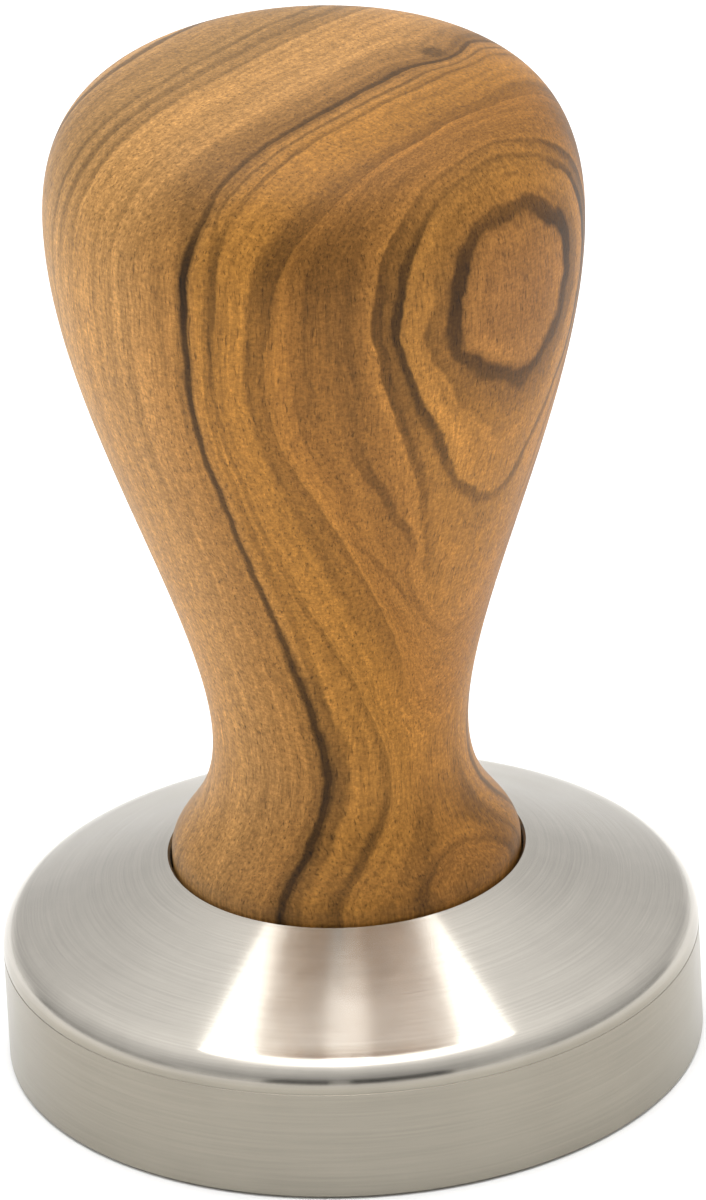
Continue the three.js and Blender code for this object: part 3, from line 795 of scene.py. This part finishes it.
# Every level and edge below is measured on a ball of directions: right, back and up, each from -1 to 1
looking = add_node(sky, "ShaderNodeTexCoord").outputs["Generated"]
right, back, up = add_node(sky, "ShaderNodeSeparateXYZ", {0: looking}).outputs
ROOM_LEVELS = [(0.0, 1.1), (0.1, 1.1), (0.22, 0.85), (0.35, 0.87), (0.6, 1.09), (0.75, 1.32), (0.86, 1.5),
               (0.90, 1.5), (0.925, 3.9), (1.0, 3.9)]
room = add_node(sky, "ShaderNodeValToRGB", {0: up})
room_stops = room.color_ramp.elements
while len(room_stops) < len(ROOM_LEVELS):
    room_stops.new(0.5)
for stop, (at, brightness) in zip(room_stops, ROOM_LEVELS):
    stop.position = at
    stop.color = (brightness, brightness, brightness, 1)

# The front of the room is a little dimmer than the back
level = add_node(sky, "ShaderNodeMapRange",
                 {"Value": back, "From Min": -0.9, "From Max": -0.3, "To Min": 0.7, "To Max": 1.0})

# Something dark low down at both sides
off_middle = add_node(sky, "ShaderNodeMath", {0: right}, operation="ABSOLUTE")
side = add_node(sky, "ShaderNodeMapRange",
                {"Value": off_middle.outputs[0], "From Min": 0.8, "From Max": 0.9,
                 "To Min": 0.0, "To Max": 0.5})
side_height = add_node(sky, "ShaderNodeMapRange",
                       {"Value": up, "From Min": 0.12, "From Max": 0.25, "To Min": 1.0, "To Max": 0.0})
side_dark = add_node(sky, "ShaderNodeMath", {0: side.outputs[0], 1: side_height.outputs[0]},
                     operation="MULTIPLY")

# A darker one low in front, with a lighter gap a little left of its middle
front = add_node(sky, "ShaderNodeMapRange",
                 {"Value": back, "From Min": -0.85, "From Max": -0.88, "To Min": 0.0, "To Max": 0.97})
front_height = add_node(sky, "ShaderNodeMapRange",
                        {"Value": up, "From Min": 0.2, "From Max": 0.34, "To Min": 1.0, "To Max": 0.0})
front_dark = add_node(sky, "ShaderNodeMath", {0: front.outputs[0], 1: front_height.outputs[0]},
                      operation="MULTIPLY")
from_gap = add_node(sky, "ShaderNodeMath", {0: right, 1: 0.1}, operation="ADD")
off_gap = add_node(sky, "ShaderNodeMath", {0: from_gap.outputs[0]}, operation="ABSOLUTE")
gap = add_node(sky, "ShaderNodeMapRange",
               {"Value": off_gap.outputs[0], "From Min": 0.03, "From Max": 0.08,
                "To Min": 0.3, "To Max": 1.0})
front_dark = add_node(sky, "ShaderNodeMath", {0: front_dark.outputs[0], 1: gap.outputs[0]},
                      operation="MULTIPLY")

for dark in (side_dark, front_dark):
    left_over = add_node(sky, "ShaderNodeMath", {0: 1.0, 1: dark.outputs[0]}, operation="SUBTRACT")
    level = add_node(sky, "ShaderNodeMath", {0: level.outputs[0], 1: left_over.outputs[0]},
                     operation="MULTIPLY")
dimmed = add_node(sky, "ShaderNodeVectorMath", {0: room.outputs[0], "Scale": level.outputs[0]},
                  operation="SCALE")
glow = add_node(sky, "ShaderNodeBackground", {"Color": dimmed.outputs[0], "Strength": 1.0})
add_node(sky, "ShaderNodeOutputWorld", {"Surface": glow.outputs[0]})


def soft_box(name, place, width, length, turn, radiance):
    """A rectangular soft box that faces straight down, turned in plan by an angle in degrees."""
    light = bpy.data.lights.new(name, "AREA")
    light.shape = "RECTANGLE"
    light.size = width
    light.size_y = length
    light.energy = radiance * math.pi * width * length
    lamp = bpy.data.objects.new(name, light)
    lamp.location = place
    lamp.rotation_euler = (0, 0, math.radians(turn))
    bpy.context.scene.collection.objects.link(lamp)


# Places and sizes in metres
soft_box("right_box", (0.21, 0.174, 0.7), width=0.1, length=0.28, turn=25.6, radiance=4.2)
soft_box("left_box", (-0.21, 0.174, 0.7), width=0.1, length=0.28, turn=-25.6, radiance=4.2)
soft_box("middle_box", (-0.02, -0.085, 0.7), width=0.1, length=0.14, turn=0, radiance=8)


# ---------- Camera ----------
# A long lens a metre away, looking 26 degrees down on the tamper and rolled by three degrees.

CAMERA_PLACE = Vector((0, -0.90033, 0.47918))
CAMERA_TILT = math.radians(25.995)
CAMERA_PAN = math.radians(0.1)
CAMERA_ROLL = math.radians(-2.942)
camera_data = bpy.data.cameras.new("camera")
camera_data.lens = 365.4
camera_data.sensor_width = 36
camera_data.clip_end = 10
camera = bpy.data.objects.new("camera", camera_data)
camera.matrix_world = (Matrix.Translation(CAMERA_PLACE) @ Matrix.Rotation(-CAMERA_PAN, 4, "Z")
                       @ Matrix.Rotation(math.pi / 2 - CAMERA_TILT, 4, "X")
                       @ Matrix.Rotation(CAMERA_ROLL, 4, "Z"))
bpy.context.scene.collection.objects.link(camera)
bpy.context.scene.camera = camera
bpy.context.scene.view_settings.view_transform = "Standard"
